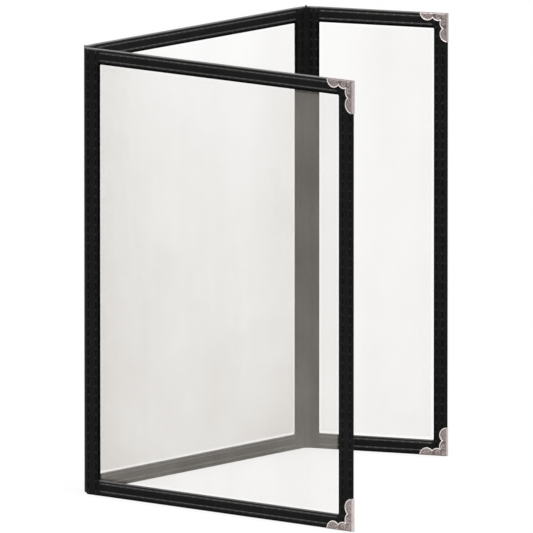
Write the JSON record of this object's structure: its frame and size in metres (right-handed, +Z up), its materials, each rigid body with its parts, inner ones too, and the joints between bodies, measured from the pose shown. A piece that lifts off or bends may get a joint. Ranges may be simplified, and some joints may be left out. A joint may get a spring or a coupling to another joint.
{
  "type": "menu cover",
  "caption": "Folding menu cover with clear vinyl pocket leaves bound in black leatherette, joined by fold strips and guarded by scalloped stamped metal corners.",
  "frame": {"origin": "middle of the middle leaf's lower edge, on the surface that the cover stands on", "axes": "+Z up the leaves, +X along the middle leaf from the front cover's fold to the flap's fold, -Y out of the middle leaf's inside face, towards which the front cover and the flap fold"},
  "size_m": [0.2904, 0.241, 0.2985],
  "materials": {
    "leatherette": "black grained leatherette with a satin sheen, sewn with black thread",
    "vinyl": "clear, slightly hazy flexible film",
    "corner_metal": "stamped and plated, antique silver with a bright rim"
  },
  "bodies": {
    "middle_leaf": {"middle_front_sheet": "vinyl", "middle_back_sheet": "vinyl", "middle_front_lip": "leatherette", "middle_back_lip": "leatherette", "middle_bottom_binding": "leatherette", "middle_left_binding": "leatherette", "middle_right_binding": "leatherette"},
    "cover_strip": {"cover_spine": "leatherette"},
    "front_cover": {"cover_front_sheet": "vinyl", "cover_back_sheet": "vinyl", "cover_front_lip": "leatherette", "cover_back_lip": "leatherette", "cover_bottom_binding": "leatherette", "cover_left_binding": "leatherette", "cover_right_binding": "leatherette", "cover_top_corner": "corner_metal", "cover_bottom_corner": "corner_metal"},
    "flap_strip": {"flap_spine": "leatherette"},
    "side_flap": {"flap_front_sheet": "vinyl", "flap_back_sheet": "vinyl", "flap_front_lip": "leatherette", "flap_back_lip": "leatherette", "flap_bottom_binding": "leatherette", "flap_left_binding": "leatherette", "flap_right_binding": "leatherette", "flap_top_corner": "corner_metal", "flap_bottom_corner": "corner_metal"}
  },
  "joints": [
    {"name": "cover_strip_fold", "type": "hinge", "parent": "middle_leaf", "child": "cover_strip", "pos_m": [-0.1175, 0, 0], "axis": [0, 0, 1], "range_deg": [-133.25, 46.75]},
    {"name": "cover_fold", "type": "hinge", "parent": "cover_strip", "child": "front_cover", "pos_m": [-0.12289, -0.00507, 0], "axis": [0, 0, 1], "range_deg": [-133.25, 46.75]},
    {"name": "flap_strip_fold", "type": "hinge", "parent": "middle_leaf", "child": "flap_strip", "pos_m": [0.1175, 0, 0], "axis": [0, 0, -1], "range_deg": [-126.45, 53.55]},
    {"name": "flap_fold", "type": "hinge", "parent": "flap_strip", "child": "side_flap", "pos_m": [0.12048, -0.0022, 0], "axis": [0, 0, -1], "range_deg": [-126.45, 53.55]}
  ]
}
